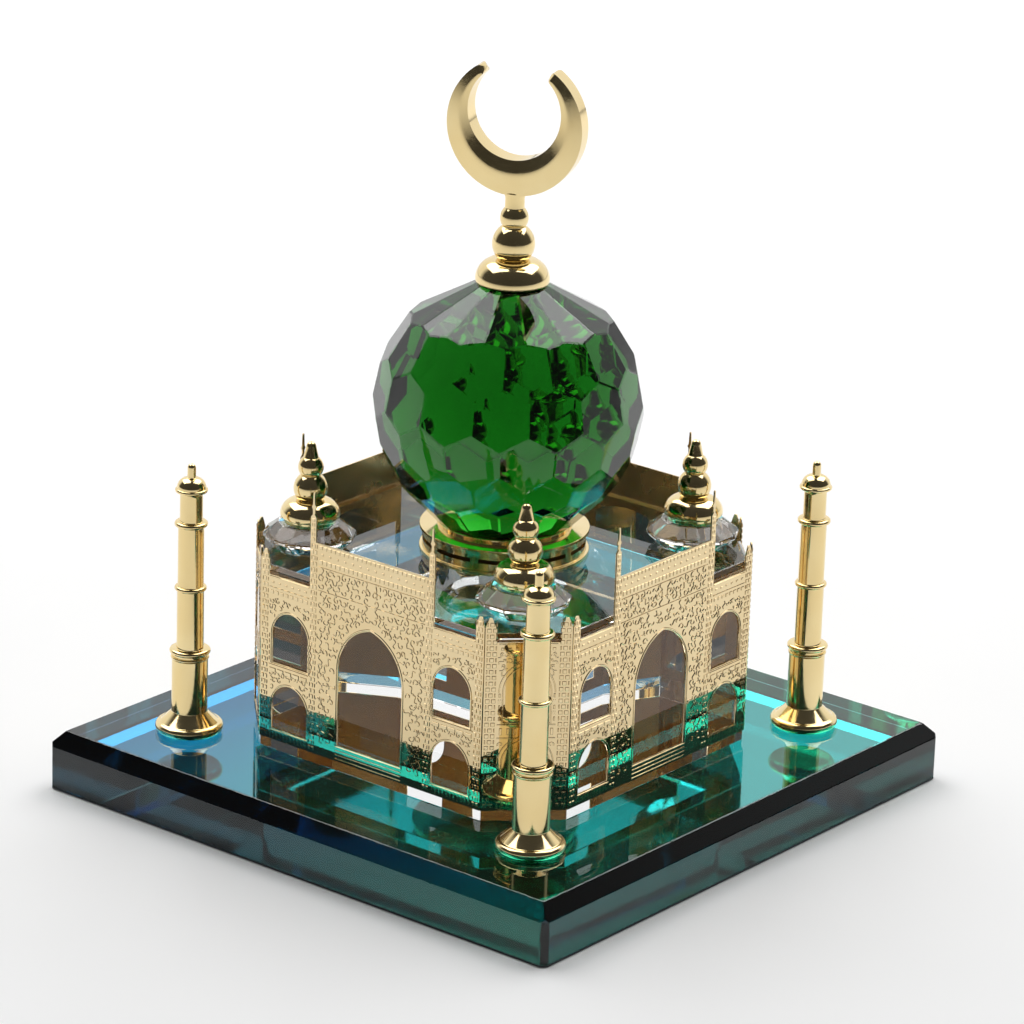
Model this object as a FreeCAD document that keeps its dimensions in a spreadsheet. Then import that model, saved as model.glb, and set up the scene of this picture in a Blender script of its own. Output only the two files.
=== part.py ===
"""Crystal and gilt miniature of a domed garden tomb on a square glass base.

Millimetres, +Z up. The origin is the centre of the underside of the base, so the model stands on Z = 0.
Front is -Y, right is +X. The four sides of the hall are alike, and so are its four corners.
"""
import FreeCAD, Part
import math
import os

import Sketcher
from FreeCAD import Placement, Rotation, Vector

OUT_DIR = "parts"

# Driving dimensions. Heights are counted upwards from the face that each piece stands on.
SIZES = {
    # base: a thick glass plate over a thin mirror film
    "base_side": 120.0,
    "film_thickness": 0.3,
    "plate_thickness": 11.0,
    "plate_corner_facet": 1.1,
    "plate_top_facet": 0.35,
    "plate_bevel_inset": 2.4,
    "plate_bevel_drop": 2.8,
    "plate_edge_break": 0.4,
    # hall: solid crystal block with cut corners
    "hall_half_width": 37.7,
    "hall_corner_leg": 11.1,
    "hall_height": 36.0,
    "hall_roof_bevel": 0.8,
    # etched brass sheets glued on the block
    "sheet_thickness": 0.3,
    "sheet_bottom": 2.1,
    "cornice_height": 34.6,
    "portal_top": 43.5,
    "portal_half_width": 14.8,
    "spire_top": 53.0,
    "spire_width": 1.3,
    "turret_top": 39.3,
    "turret_width": 1.9,
    "point_width": 0.5,
    "portal_arch_half": 7.7,
    "portal_arch_bottom": 5.2,
    "portal_arch_spring": 20.2,
    "portal_arch_rise": 9.4,
    "bay_window_offset": 19.4,
    "bay_window_half": 4.4,
    "bay_window_rise": 4.6,
    "bay_lower_bottom": 4.3,
    "bay_lower_spring": 8.9,
    "bay_upper_bottom": 17.5,
    "bay_upper_spring": 23.2,
    # roof kiosks: a faceted crystal button under a turned finial
    "kiosk_front_left_across": 26.8,
    "kiosk_front_left_along": 24.5,
    "kiosk_front_right_across": 23.6,
    "kiosk_front_right_along": 23.3,
    "kiosk_back_right_across": 23.8,
    "kiosk_back_right_along": 26.7,
    "kiosk_back_left_across": 24.6,
    "kiosk_back_left_along": 24.6,
    "button_radius": 8.75,
    "button_seat_radius": 6.4,
    "button_girdle_low": 2.2,
    "button_girdle": 0.7,
    "button_height": 5.0,
    "button_top_radius": 5.9,
    # collar and cut ball of the dome
    "collar_radius": 15.9,
    "collar_waist_radius": 15.3,
    "collar_height": 4.9,
    "collar_lip": 0.7,
    "collar_slot_length": 8.4,
    "collar_slot_width": 0.8,
    "collar_slot_depth": 0.8,
    "collar_seat_radius": 12.6,
    "collar_seat_height": 0.9,
    "ball_facet_distance": 24.5,
    "ball_crown_distance": 23.7,
    "ball_bottom_cut": 22.4,
    "ball_top_cut": 23.7,
    "ball_turn": 17.5,
    # dome finial and crescent
    "finial_cap_radius": 6.9,
    "finial_bulb_radius": 4.0,
    "finial_bead_radius": 2.66,
    "finial_neck_radius": 1.83,
    "finial_height": 17.2,
    "crescent_radius": 13.0,
    "crescent_inner_radius": 8.95,
    "crescent_inner_lift": 2.7,
    "crescent_tip_radius": 0.95,
    "crescent_horn_angle": 36.2,
    "crescent_depth": 5.2,
    "crescent_outer_edge_depth": 3.6,
    "crescent_inner_edge_depth": 4.1,
    "crescent_yaw": 20.0,
    "crescent_seat": 0.35,
    # minarets
    "minaret_offset": 41.3,
    "minaret_foot_radius": 6.4,
    "minaret_lower_radius": 3.4,
    "minaret_middle_radius": 2.55,
    "minaret_upper_radius": 2.45,
    "minaret_lantern_radius": 2.15,
    "minaret_height": 52.9,
}
BALL_FACETS_PER_ROW = 15
BALL_CROWN_LATITUDE = 61.0
BALL_ROW_LATITUDES = (31.5, 11.0, -10.5, -27.0, -44.0)
BUTTON_SIDES = 12
COLLAR_SLOTS = 10

# Corner name, and the signs of its X and Y.
CORNERS = (
    ("front_left", -1, -1),
    ("front_right", 1, -1),
    ("back_right", 1, 1),
    ("back_left", -1, 1),
)
# Side name, and its turn about Z from the front.
SIDES = (("front", 0), ("right", 90), ("back", 180), ("left", 270))

ORIGIN_POINT = -1
SHEET_NAME = "Sizes"


class Size:
    """A length that knows both its value and the spreadsheet formula that gives it."""

    def __init__(self, value, formula):
        self.value = float(value)
        self.formula = formula

    @staticmethod
    def of(other):
        return other if isinstance(other, Size) else Size(other, "%.9g" % other)

    def joined(self, sign, other, value):
        return Size(value, "(%s %s %s)" % (self.formula, sign, other.formula))

    def __add__(self, other):
        other = Size.of(other)
        return self.joined("+", other, self.value + other.value)

    def __sub__(self, other):
        other = Size.of(other)
        return self.joined("-", other, self.value - other.value)

    def __mul__(self, other):
        other = Size.of(other)
        return self.joined("*", other, self.value * other.value)

    def __truediv__(self, other):
        other = Size.of(other)
        return self.joined("/", other, self.value / other.value)

    def __neg__(self):
        return Size(-self.value, "(0 - %s)" % self.formula)


class Sizes:
    """The driving dimensions by name, such as size.base_side."""

    def __init__(self):
        for name, value in SIZES.items():
            setattr(self, name, Size(value, SHEET_NAME + "." + name))


size = Sizes()
doc = FreeCAD.newDocument("landmark_model")


def make_spreadsheet():
    sheet = doc.addObject("Spreadsheet::Sheet", SHEET_NAME)
    for row, (name, value) in enumerate(SIZES.items(), start=1):
        sheet.set("A%d" % row, name)
        sheet.set("B%d" % row, "%.9g" % value)
        sheet.setAlias("B%d" % row, name)
    doc.recompute()


def bind(target, prop, length):
    """Ties one property of an object to the spreadsheet."""
    target.setExpression(prop, Size.of(length).formula)


def new_body(name):
    body = doc.addObject("PartDesign::Body", name)
    body.Label = name
    return body


def place(piece, x=0.0, y=0.0, z=0.0, turn=0.0):
    """Moves a piece to (x, y, z) and turns it about Z; the place follows the spreadsheet."""
    piece.Placement = Placement(Vector(0, 0, 0), Rotation(Vector(0, 0, 1), turn))
    bind(piece, "Placement.Base.x", x)
    bind(piece, "Placement.Base.y", y)
    bind(piece, "Placement.Base.z", z)


def origin_feature(body, role):
    return next(item for item in body.Origin.OriginFeatures if item.Role == role)


def new_sketch(body, name, plane, lift=0.0, shift=0.0):
    """A sketch on an origin plane of its body, lifted along the plane's normal and shifted up its Y."""
    sketch = body.newObject("Sketcher::SketchObject", name)
    sketch.AttachmentSupport = [(origin_feature(body, plane), "")]
    sketch.MapMode = "FlatFace"
    bind(sketch, "AttachmentOffset.Base.z", lift)
    bind(sketch, "AttachmentOffset.Base.y", shift)
    return sketch


def pin(sketch, kind, geometry, point, length):
    """Holds one coordinate of a sketch point at a spreadsheet length from the sketch origin."""
    length = Size.of(length)
    number = sketch.addConstraint(Sketcher.Constraint(kind, ORIGIN_POINT, 1, geometry, point, length.value))
    sketch.setExpression("Constraints[%d]" % number, length.formula)


def draw_outline(sketch, corners):
    """Draws a closed outline.

    A corner is (x, y) for a straight edge to it from the corner before, or (x, y, cx, cy, turn) for an arc
    about (cx, cy) that runs anticlockwise (turn 1) or clockwise (turn -1).
    """
    count = len(corners)
    exits = []
    entries = []
    for i, corner in enumerate(corners):
        before = corners[i - 1]
        x0, y0 = Size.of(before[0]).value, Size.of(before[1]).value
        x1, y1 = Size.of(corner[0]).value, Size.of(corner[1]).value
        if len(corner) == 2:
            geometry = sketch.addGeometry(Part.LineSegment(Vector(x0, y0, 0), Vector(x1, y1, 0)))
            entries.append((geometry, 1))
            exits.append((geometry, 2))
            continue
        cx, cy = Size.of(corner[2]), Size.of(corner[3])
        radius = math.hypot(x0 - cx.value, y0 - cy.value)
        circle = Part.Circle(Vector(cx.value, cy.value, 0), Vector(0, 0, 1), radius)
        first = math.atan2(y0 - cy.value, x0 - cx.value)
        last = math.atan2(y1 - cy.value, x1 - cx.value)
        if corner[4] < 0:
            first, last = last, first
        geometry = sketch.addGeometry(Part.ArcOfCircle(circle, first, last))
        entries.append((geometry, 1 if corner[4] > 0 else 2))
        exits.append((geometry, 2 if corner[4] > 0 else 1))
        if abs(x1 - x0) > abs(y1 - y0):
            pin(sketch, "DistanceY", geometry, 3, cy)
        else:
            pin(sketch, "DistanceX", geometry, 3, cx)
    for i, corner in enumerate(corners):
        leave = exits[i]
        enter = entries[(i + 1) % count]
        sketch.addConstraint(Sketcher.Constraint("Coincident", leave[0], leave[1], enter[0], enter[1]))
        pin(sketch, "DistanceX", leave[0], leave[1], corner[0])
        pin(sketch, "DistanceY", leave[0], leave[1], corner[1])


def pad(body, name, sketch, length, midplane=False):
    feature = body.newObject("PartDesign::Pad", name)
    feature.Profile = sketch
    feature.Midplane = midplane
    bind(feature, "Length", length)
    body.Tip = feature
    return feature


def revolve(body, name, sketch, kind="PartDesign::Revolution", axis="V_Axis"):
    feature = body.newObject(kind, name)
    feature.Profile = sketch
    feature.ReferenceAxis = (sketch, [axis])
    feature.Angle = 360.0
    body.Tip = feature
    return feature


def turned_piece(name, profile):
    """A turned piece: its half profile, a list of (radius, height) corners, spun about Z."""
    body = new_body(name)
    sketch = new_sketch(body, name + "_profile", "XZ_Plane")
    draw_outline(sketch, profile)
    revolve(body, name + "_turning", sketch)
    return body


def face_names(shape, wanted):
    return ["Face%d" % (i + 1) for i, face in enumerate(shape.Faces) if wanted(face)]


def cut_square(half, leg):
    """The corners of a square of a half width, with its corners cut off by legs."""
    flat = half - leg
    return [
        (half, -flat),
        (half, flat),
        (flat, half),
        (-flat, half),
        (-half, flat),
        (-half, -flat),
        (-flat, -half),
        (flat, -half),
    ]


def pointed_arch(middle, half, bottom, spring, rise):
    """An opening with upright sides and a pointed head struck from two centres on the spring line."""
    setback = (rise * rise - half * half) / (half * 2)
    return [
        (middle - half, bottom),
        (middle + half, bottom),
        (middle + half, spring),
        (middle, spring + rise, middle - setback, spring, 1),
        (middle - half, spring, middle + setback, spring, 1),
    ]


def loft(body, name, sketches):
    """Straight-sided solid through sketches with equally many corners."""
    feature = body.newObject("PartDesign::AdditiveLoft", name)
    feature.Profile = sketches[0]
    feature.Sections = sketches[1:]
    feature.Ruled = True
    body.Tip = feature
    return feature


def build_base():
    half = size.base_side / 2
    wall = size.plate_thickness - size.plate_bevel_drop
    plate = new_body("base_plate")
    outlines = []
    for name, height, outline_half, leg in (
        ("plate_foot", Size.of(0.0), half, size.plate_corner_facet),
        ("plate_shoulder", wall, half, size.plate_corner_facet),
        ("plate_top", size.plate_thickness, half - size.plate_bevel_inset, size.plate_top_facet),
    ):
        sketch = new_sketch(plate, name, "XY_Plane", lift=height)
        draw_outline(sketch, cut_square(outline_half, leg))
        outlines.append(sketch)
    pad(plate, "plate_block", outlines[0], wall)
    doc.recompute()
    bevel = loft(plate, "plate_bevel", outlines[1:])
    doc.recompute()

    bottom = face_names(bevel.Shape, lambda face: face.CenterOfMass.z < 0.01)
    edge_break = plate.newObject("PartDesign::Chamfer", "plate_edge_break")
    edge_break.Base = (bevel, bottom)
    bind(edge_break, "Size", size.plate_edge_break)
    plate.Tip = edge_break
    place(plate, z=size.film_thickness)

    film = new_body("mirror_film")
    sketch = new_sketch(film, "film_outline", "XY_Plane")
    draw_outline(sketch, cut_square(half - size.plate_edge_break, size.plate_corner_facet))
    pad(film, "film_sheet", sketch, size.film_thickness)
    place(film)
    return [plate, film]


def build_hall(floor):
    hall = new_body("hall_block")
    sketch = new_sketch(hall, "hall_outline", "XY_Plane")
    draw_outline(sketch, cut_square(size.hall_half_width, size.hall_corner_leg))
    block = pad(hall, "hall_prism", sketch, size.hall_height)
    doc.recompute()
    roof = face_names(block.Shape, lambda face: face.CenterOfMass.z > SIZES["hall_height"] - 0.01)
    bevel = hall.newObject("PartDesign::Chamfer", "hall_roof_bevel")
    bevel.Base = (block, roof)
    bind(bevel, "Size", size.hall_roof_bevel)
    hall.Tip = bevel
    place(hall, z=floor)
    return [hall]


def side_sheet(name, floor, turn):
    """One side's etched sheet: two low bays, a tall portal with a spire at each end, five openings."""
    edge = size.hall_half_width - size.hall_corner_leg
    portal = size.portal_half_width
    inner = portal - size.spire_width
    spire_tip = portal - size.spire_width / 2
    turret = edge - size.turret_width
    turret_tip = edge - size.turret_width / 2
    point = size.point_width / 2
    right_half = [
        (edge, size.sheet_bottom),
        (edge, size.turret_top - size.turret_width),
        (turret_tip + point, size.turret_top),
        (turret_tip - point, size.turret_top),
        (turret, size.turret_top - size.turret_width),
        (turret, size.cornice_height),
        (portal, size.cornice_height),
        (portal, size.portal_top + (size.spire_top - size.portal_top) / 2),
        (spire_tip + point, size.spire_top),
        (spire_tip - point, size.spire_top),
        (inner, size.portal_top + (size.spire_top - size.portal_top) / 2),
        (inner, size.portal_top),
    ]
    left_half = [(-x, y) for x, y in reversed(right_half)]
    openings = [
        pointed_arch(
            Size.of(0.0),
            size.portal_arch_half,
            size.portal_arch_bottom,
            size.portal_arch_spring,
            size.portal_arch_rise,
        )
    ]
    for offset in (size.bay_window_offset, -size.bay_window_offset):
        for bottom, spring in (
            (size.bay_lower_bottom, size.bay_lower_spring),
            (size.bay_upper_bottom, size.bay_upper_spring),
        ):
            arch = pointed_arch(offset, size.bay_window_half, bottom, spring, size.bay_window_rise)
            openings.append(arch)

    body = new_body(name)
    sketch = new_sketch(body, name + "_outline", "XZ_Plane", lift=size.hall_half_width)
    draw_outline(sketch, right_half + left_half)
    for opening in openings:
        draw_outline(sketch, opening)
    pad(body, name + "_sheet", sketch, size.sheet_thickness)
    place(body, z=floor, turn=turn)
    return body


def corner_sheet(name, floor, turn):
    """One cut corner's etched sheet: a closed plate between two narrow piers with turrets."""
    half = size.hall_corner_leg * math.sqrt(0.5)
    distance = size.hall_half_width * math.sqrt(2.0) - half
    turret = half - size.turret_width
    turret_tip = half - size.turret_width / 2
    point = size.point_width / 2
    right_half = [
        (half, size.sheet_bottom),
        (half, size.turret_top - size.turret_width),
        (turret_tip + point, size.turret_top),
        (turret_tip - point, size.turret_top),
        (turret, size.turret_top - size.turret_width),
        (turret, size.cornice_height),
    ]
    left_half = [(-x, y) for x, y in reversed(right_half)]
    body = new_body(name)
    sketch = new_sketch(body, name + "_outline", "XZ_Plane", lift=distance)
    draw_outline(sketch, right_half + left_half)
    pad(body, name + "_sheet", sketch, size.sheet_thickness)
    place(body, z=floor, turn=turn)
    return body


def build_sheets(floor):
    pieces = [side_sheet("facade_" + name, floor, turn) for name, turn in SIDES]
    for name, across, along in CORNERS:
        turn = math.degrees(math.atan2(along, across)) + 90.0
        pieces.append(corner_sheet("corner_panel_" + name, floor, turn))
    return pieces


def crystal_button(name, x, y, z):
    """A clear button with flat facets: it widens from its seat to a girdle, then slopes to a small flat top."""
    body = new_body(name)
    corners = []
    for i in range(BUTTON_SIDES):
        angle = 2 * math.pi * (i + 0.5) / BUTTON_SIDES
        corners.append((math.cos(angle), math.sin(angle)))
    rings = (
        (size.button_seat_radius, Size.of(0.0)),
        (size.button_radius, size.button_girdle_low),
        (size.button_radius, size.button_girdle_low + size.button_girdle),
        (size.button_top_radius, size.button_height),
    )
    sketches = []
    for i, (radius, height) in enumerate(rings):
        sketch = new_sketch(body, "%s_ring_%d" % (name, i), "XY_Plane", lift=height)
        draw_outline(sketch, [(radius * c, radius * s) for c, s in corners])
        sketches.append(sketch)
    loft(body, name + "_pavilion", sketches[:2])
    doc.recompute()
    pad(body, name + "_girdle_band", sketches[1], size.button_girdle)
    doc.recompute()
    loft(body, name + "_crown", sketches[2:])
    place(body, x, y, z)
    return body


def kiosk_finial_profile():
    """Half profile: a drum, a bun-shaped dome, two balls and a blunt cone."""
    drum_radius, drum_top = 4.8, 1.0
    dome_radius, dome_top = 5.6, 4.3
    neck_radius = 2.4
    ball_radius, ball_height = 3.2, 6.5
    bead_radius, bead_height = 2.4, 10.6
    cone_radius, cone_bottom, tip_radius, tip_bottom = 1.45, 12.5, 0.95, 14.6
    ball_low = ball_height - math.sqrt(ball_radius ** 2 - neck_radius ** 2)
    gap = bead_height - ball_height
    joint = (gap ** 2 + ball_radius ** 2 - bead_radius ** 2) / (2 * gap)
    joint_radius = math.sqrt(ball_radius ** 2 - joint ** 2)
    bead_high = bead_height + math.sqrt(bead_radius ** 2 - cone_radius ** 2)
    # The dome's side is an arc through its foot and the neck, with its centre at the foot's height.
    reach = dome_radius - neck_radius
    climb = dome_top - drum_top - 0.5
    dome_arc = (reach ** 2 + climb ** 2) / (2 * reach)
    return [
        (0.0, 0.0),
        (drum_radius, 0.0),
        (drum_radius, drum_top),
        (dome_radius - 0.1, drum_top),
        (dome_radius, drum_top + 0.5),
        (neck_radius, dome_top, dome_radius - dome_arc, drum_top + 0.5, 1),
        (neck_radius, ball_low),
        (joint_radius, ball_height + joint, 0.0, ball_height, 1),
        (cone_radius, bead_high, 0.0, bead_height, 1),
        (cone_radius, cone_bottom),
        (tip_radius, tip_bottom),
        (0.0, tip_bottom + tip_radius, 0.0, tip_bottom, 1),
    ]


def build_kiosks(roof):
    """The four roof kiosks. They are glued on by hand, and none sits quite on its diagonal."""
    pieces = []
    profile = kiosk_finial_profile()
    for name, across, along in CORNERS:
        x = getattr(size, "kiosk_%s_across" % name) * across
        y = getattr(size, "kiosk_%s_along" % name) * along
        pieces.append(crystal_button("kiosk_button_" + name, x, y, roof))
        finial = turned_piece("kiosk_finial_" + name, profile)
        place(finial, x, y, roof + size.button_height)
        pieces.append(finial)
    return pieces


def build_collar(roof):
    """The dome's collar: a turned disc with two lips, a raised seat, and sunk slots round its waist."""
    rim = size.collar_radius
    waist = size.collar_waist_radius
    profile = [
        (0.0, 0.0),
        (rim, 0.0),
        (rim, size.collar_lip),
        (waist, size.collar_lip),
        (waist, size.collar_height - size.collar_lip),
        (rim, size.collar_height - size.collar_lip),
        (rim, size.collar_height),
        (size.collar_seat_radius, size.collar_height),
        (size.collar_seat_radius, size.collar_height + size.collar_seat_height),
        (0.0, size.collar_height + size.collar_seat_height),
    ]
    body = turned_piece("dome_collar", profile)
    doc.recompute()

    middle = size.collar_height / 2 - size.collar_slot_width / 2
    half_length = size.collar_slot_length / 2
    sketch = new_sketch(body, "slot_outline", "XZ_Plane", lift=waist - size.collar_slot_depth)
    draw_outline(
        sketch,
        [
            (-half_length, middle),
            (half_length, middle),
            (half_length, middle + size.collar_slot_width),
            (-half_length, middle + size.collar_slot_width),
        ],
    )
    slot = body.newObject("PartDesign::Pocket", "slot")
    slot.Profile = sketch
    slot.Reversed = True
    bind(slot, "Length", size.collar_slot_depth * 2)
    doc.recompute()
    slots = body.newObject("PartDesign::PolarPattern", "slots")
    slots.Originals = [slot]
    slots.Axis = (origin_feature(body, "Z_Axis"), [""])
    slots.Angle = 360.0
    slots.Occurrences = COLLAR_SLOTS
    body.Tip = slots
    place(body, z=roof)
    return [body]


def ball_row(latitude, distance, stagger):
    """One row of facet planes round the ball, as (unit normal, distance from the ball's centre)."""
    tilt = math.radians(latitude)
    pitch = 2 * math.pi / BALL_FACETS_PER_ROW
    row = []
    for i in range(BALL_FACETS_PER_ROW):
        heading = pitch * (i + stagger)
        level = math.cos(tilt)
        normal = Vector(level * math.cos(heading), level * math.sin(heading), math.sin(tilt))
        row.append((normal, distance))
    return row


def ball_planes():
    """All facet planes of the ball: flat top and bottom, the crown's long facets, and the rows below."""
    planes = [
        (Vector(0, 0, 1), SIZES["ball_top_cut"]),
        (Vector(0, 0, -1), SIZES["ball_bottom_cut"]),
    ]
    planes += ball_row(BALL_CROWN_LATITUDE, SIZES["ball_crown_distance"], 0.0)
    for number, latitude in enumerate(BALL_ROW_LATITUDES, start=1):
        planes += ball_row(latitude, SIZES["ball_facet_distance"], 0.5 * (number % 2))
    return planes


def clip(polygon, normal, distance):
    """The part of a polygon on the inner side of a plane."""
    kept = []
    for i, point in enumerate(polygon):
        before = polygon[i - 1]
        depth = distance - normal.dot(point)
        depth_before = distance - normal.dot(before)
        if (depth > 0) != (depth_before > 0):
            share = depth_before / (depth_before - depth)
            kept.append(before + (point - before) * share)
        if depth > 0:
            kept.append(point)
    return kept


def facet(plane, planes):
    """The face that the other planes leave of one facet plane."""
    normal, distance = plane
    reach = 4 * SIZES["ball_facet_distance"]
    along = normal.cross(Vector(0, 0, 1) if abs(normal.z) < 0.9 else Vector(1, 0, 0)).normalize()
    across = normal.cross(along)
    centre = normal * distance
    square = ((-reach, -reach), (reach, -reach), (reach, reach), (-reach, reach))
    polygon = [centre + along * a + across * b for a, b in square]
    for other_normal, other_distance in planes:
        if other_normal is not normal:
            polygon = clip(polygon, other_normal, other_distance)
    return Part.Face(Part.makePolygon(polygon + polygon[:1]))


def build_ball(seat):
    """The cut crystal ball that is the dome: rows of flat facets, staggered, with a flat top and bottom."""
    planes = ball_planes()
    shell = Part.Shell([facet(plane, planes) for plane in planes])
    shell.sewShape()
    solid = Part.Solid(Part.Shell(shell.Faces))
    if solid.Volume < 0:
        solid.reverse()
    ball = doc.addObject("Part::Feature", "dome_ball")
    ball.Label = "dome_ball"
    ball.Shape = solid
    place(ball, z=seat + size.ball_bottom_cut, turn=SIZES["ball_turn"])
    return [ball]


def dome_finial_profile():
    """Half profile: a bun-shaped cap, a bulb, a bead and a neck that flares to carry the crescent."""
    cap = SIZES["finial_cap_radius"]
    bulb = SIZES["finial_bulb_radius"]
    bead = SIZES["finial_bead_radius"]
    neck = SIZES["finial_neck_radius"]
    top = SIZES["finial_height"]
    foot_radius, cap_widest, cap_neck = 6.7, 0.7, 2.75
    bulb_height, bead_height = 7.4, 12.3
    bulb_low = bulb_height - math.sqrt(bulb ** 2 - cap_neck ** 2)
    gap = bead_height - bulb_height
    joint = (gap ** 2 + bulb ** 2 - bead ** 2) / (2 * gap)
    joint_radius = math.sqrt(bulb ** 2 - joint ** 2)
    bead_high = bead_height + math.sqrt(bead ** 2 - neck ** 2)
    reach = cap - cap_neck
    climb = bulb_low - cap_widest
    cap_arc = (reach ** 2 + climb ** 2) / (2 * reach)
    tuck = cap - foot_radius
    foot_arc = (tuck ** 2 + cap_widest ** 2) / (2 * tuck)
    return [
        (0.0, 0.0),
        (foot_radius, 0.0),
        (cap, cap_widest, cap - foot_arc, cap_widest, 1),
        (cap_neck, bulb_low, cap - cap_arc, cap_widest, 1),
        (joint_radius, bulb_height + joint, 0.0, bulb_height, 1),
        (neck, bead_high, 0.0, bead_height, 1),
        (neck, top - 1.0),
        (neck + 0.3, top),
        (0.0, top),
    ]


def build_dome_finial(ball_top):
    finial = turned_piece("dome_finial", dome_finial_profile())
    place(finial, z=ball_top)
    return [finial]


def crescent_outline():
    """The crescent's outline about the centre of its outer circle, with rounded horn tips."""
    outer = SIZES["crescent_radius"]
    inner = SIZES["crescent_inner_radius"]
    lift = SIZES["crescent_inner_lift"]
    tip = SIZES["crescent_tip_radius"]
    # A horn tip is a circle inside the outer circle; its far side meets the inner curve.
    angle = math.radians(90.0 - SIZES["crescent_horn_angle"])
    tip_x = (outer - tip) * math.cos(angle)
    tip_y = (outer - tip) * math.sin(angle)
    outer_x = outer * math.cos(angle)
    outer_y = outer * math.sin(angle)
    inner_x = (outer - 2 * tip) * math.cos(angle)
    inner_y = (outer - 2 * tip) * math.sin(angle)
    return [
        (outer_x, outer_y, 0.0, 0.0, 1),
        (inner_x, inner_y, tip_x, tip_y, 1),
        (inner, lift),
        (0.0, lift - inner, 0.0, lift, -1),
        (-inner, lift, 0.0, lift, -1),
        (-inner_x, inner_y),
        (-outer_x, outer_y, -tip_x, tip_y, 1),
        (0.0, -outer, 0.0, 0.0, 1),
    ]


def bevel_section(radius, depth, ridge_depth, width, outward):
    """Two wedges, front and back, that a groove takes off so that the face slopes to its edge."""
    slope = (ridge_depth - depth) / width
    far = radius + outward * 1.0
    near = radius - outward * (width + 1.0)
    triangles = []
    for side in (1, -1):
        low = depth - slope
        high = ridge_depth + slope
        clear = high + 2.0
        triangles.append([(side * low, far), (side * high, near), (side * clear, near), (side * clear, far)])
    return triangles


def build_crescent(finial_top):
    """The crescent: a plate with both faces bevelled to a ridge, from the outer rim and from the inner."""
    body = new_body("crescent")
    sketch = new_sketch(body, "crescent_outline", "XZ_Plane")
    draw_outline(sketch, crescent_outline())
    pad(body, "crescent_plate", sketch, size.crescent_depth, midplane=True)
    doc.recompute()
    half_depth = SIZES["crescent_depth"] / 2
    outer_edge = SIZES["crescent_outer_edge_depth"] / 2
    inner_edge = SIZES["crescent_inner_edge_depth"] / 2
    outer = SIZES["crescent_radius"]
    inner = SIZES["crescent_inner_radius"]
    lowest_width = outer + SIZES["crescent_inner_lift"] - inner
    bevels = (
        ("outer", outer, outer_edge, lowest_width * 0.5, 1, Size.of(0.0)),
        ("inner", inner, inner_edge, lowest_width * 0.35, -1, size.crescent_inner_lift),
    )
    for name, radius, depth, width, outward, lift in bevels:
        sketch = new_sketch(body, name + "_bevel_section", "YZ_Plane", shift=lift)
        for triangle in bevel_section(radius, depth, half_depth, width, outward):
            draw_outline(sketch, triangle)
        revolve(body, name + "_bevel", sketch, "PartDesign::Groove", "H_Axis")
        doc.recompute()
    place(
        body,
        z=finial_top + size.crescent_radius - size.crescent_seat,
        turn=SIZES["crescent_yaw"],
    )
    return [body]


def bead(inner, low, high, reach):
    """A round-edged ring on a shaft: out at its low face, round its edge, and back at its high face."""
    half = (high - low) / 2
    return [
        (inner, low),
        (reach - half, low),
        (reach - half, high, reach - half, low + half, 1),
    ]


def minaret_profile():
    """Half profile: a flared foot, four stepped storeys with rings between them, a cap and a pin."""
    foot = SIZES["minaret_foot_radius"]
    lower = SIZES["minaret_lower_radius"]
    middle = SIZES["minaret_middle_radius"]
    upper = SIZES["minaret_upper_radius"]
    lantern = SIZES["minaret_lantern_radius"]
    height = SIZES["minaret_height"]
    foot_sole, foot_widest, foot_round, flare_top = 5.6, 1.1, 0.9, 4.0
    brim_radius, brim_low, brim_high = 3.1, 47.4, 48.2
    cap_radius, cap_top = 2.75, 50.2
    pin_radius = 0.8
    tuck = foot - foot_sole
    sole_arc = (tuck ** 2 + foot_widest ** 2) / (2 * tuck)
    rise = cap_top - brim_high
    reach = cap_radius - pin_radius
    cap_arc = (reach ** 2 + rise ** 2) / (2 * rise)
    profile = [
        (0.0, 0.0),
        (foot_sole, 0.0),
        (foot, foot_widest, foot - sole_arc, foot_widest, 1),
        (foot - foot_round, foot_widest + foot_round, foot - foot_round, foot_widest, 1),
        (lower, flare_top),
    ]
    profile += bead(lower, 14.5, 15.2, 3.65)
    profile += [(lower - 0.1, 15.2)]
    profile += bead(lower - 0.1, 15.6, 16.6, 3.9)
    profile += [(middle, 16.6)]
    profile += bead(middle, 28.1, 29.0, 3.05)
    profile += [(upper, 29.0)]
    profile += bead(upper, 40.7, 41.7, 3.15)
    profile += [(lantern, 41.7), (lantern, brim_low - 0.5)]
    profile += bead(lantern + 0.2, brim_low, brim_high, brim_radius)
    profile += [
        (cap_radius, brim_high),
        (pin_radius, cap_top, pin_radius, cap_top - cap_arc, 1),
        (pin_radius, height - pin_radius),
        (0.0, height, 0.0, height - pin_radius, 1),
    ]
    return profile


def build_minarets(floor):
    pieces = []
    profile = minaret_profile()
    for name, across, along in CORNERS:
        minaret = turned_piece("minaret_" + name, profile)
        place(minaret, size.minaret_offset * across, size.minaret_offset * along, floor)
        pieces.append(minaret)
    return pieces


def check_document(pieces):
    """Stops before anything is written if an object failed or a piece is not one good solid."""
    for item in doc.Objects:
        if "Invalid" in item.State or "Error" in item.State:
            raise RuntimeError("%s failed: %s" % (item.Name, item.State))
    for piece in pieces:
        shape = piece.Shape
        if shape.isNull() or not shape.isValid() or len(shape.Solids) != 1:
            raise RuntimeError("%s is not one valid solid" % piece.Label)


def write_pieces(pieces):
    os.makedirs(OUT_DIR, exist_ok=True)
    for piece in pieces:
        piece.Shape.exportStep(os.path.join(OUT_DIR, piece.Label + ".step"))
        box = piece.Shape.BoundBox
        print("%-28s volume %10.2f  z %7.2f to %7.2f" % (piece.Label, piece.Shape.Volume, box.ZMin, box.ZMax))


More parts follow.
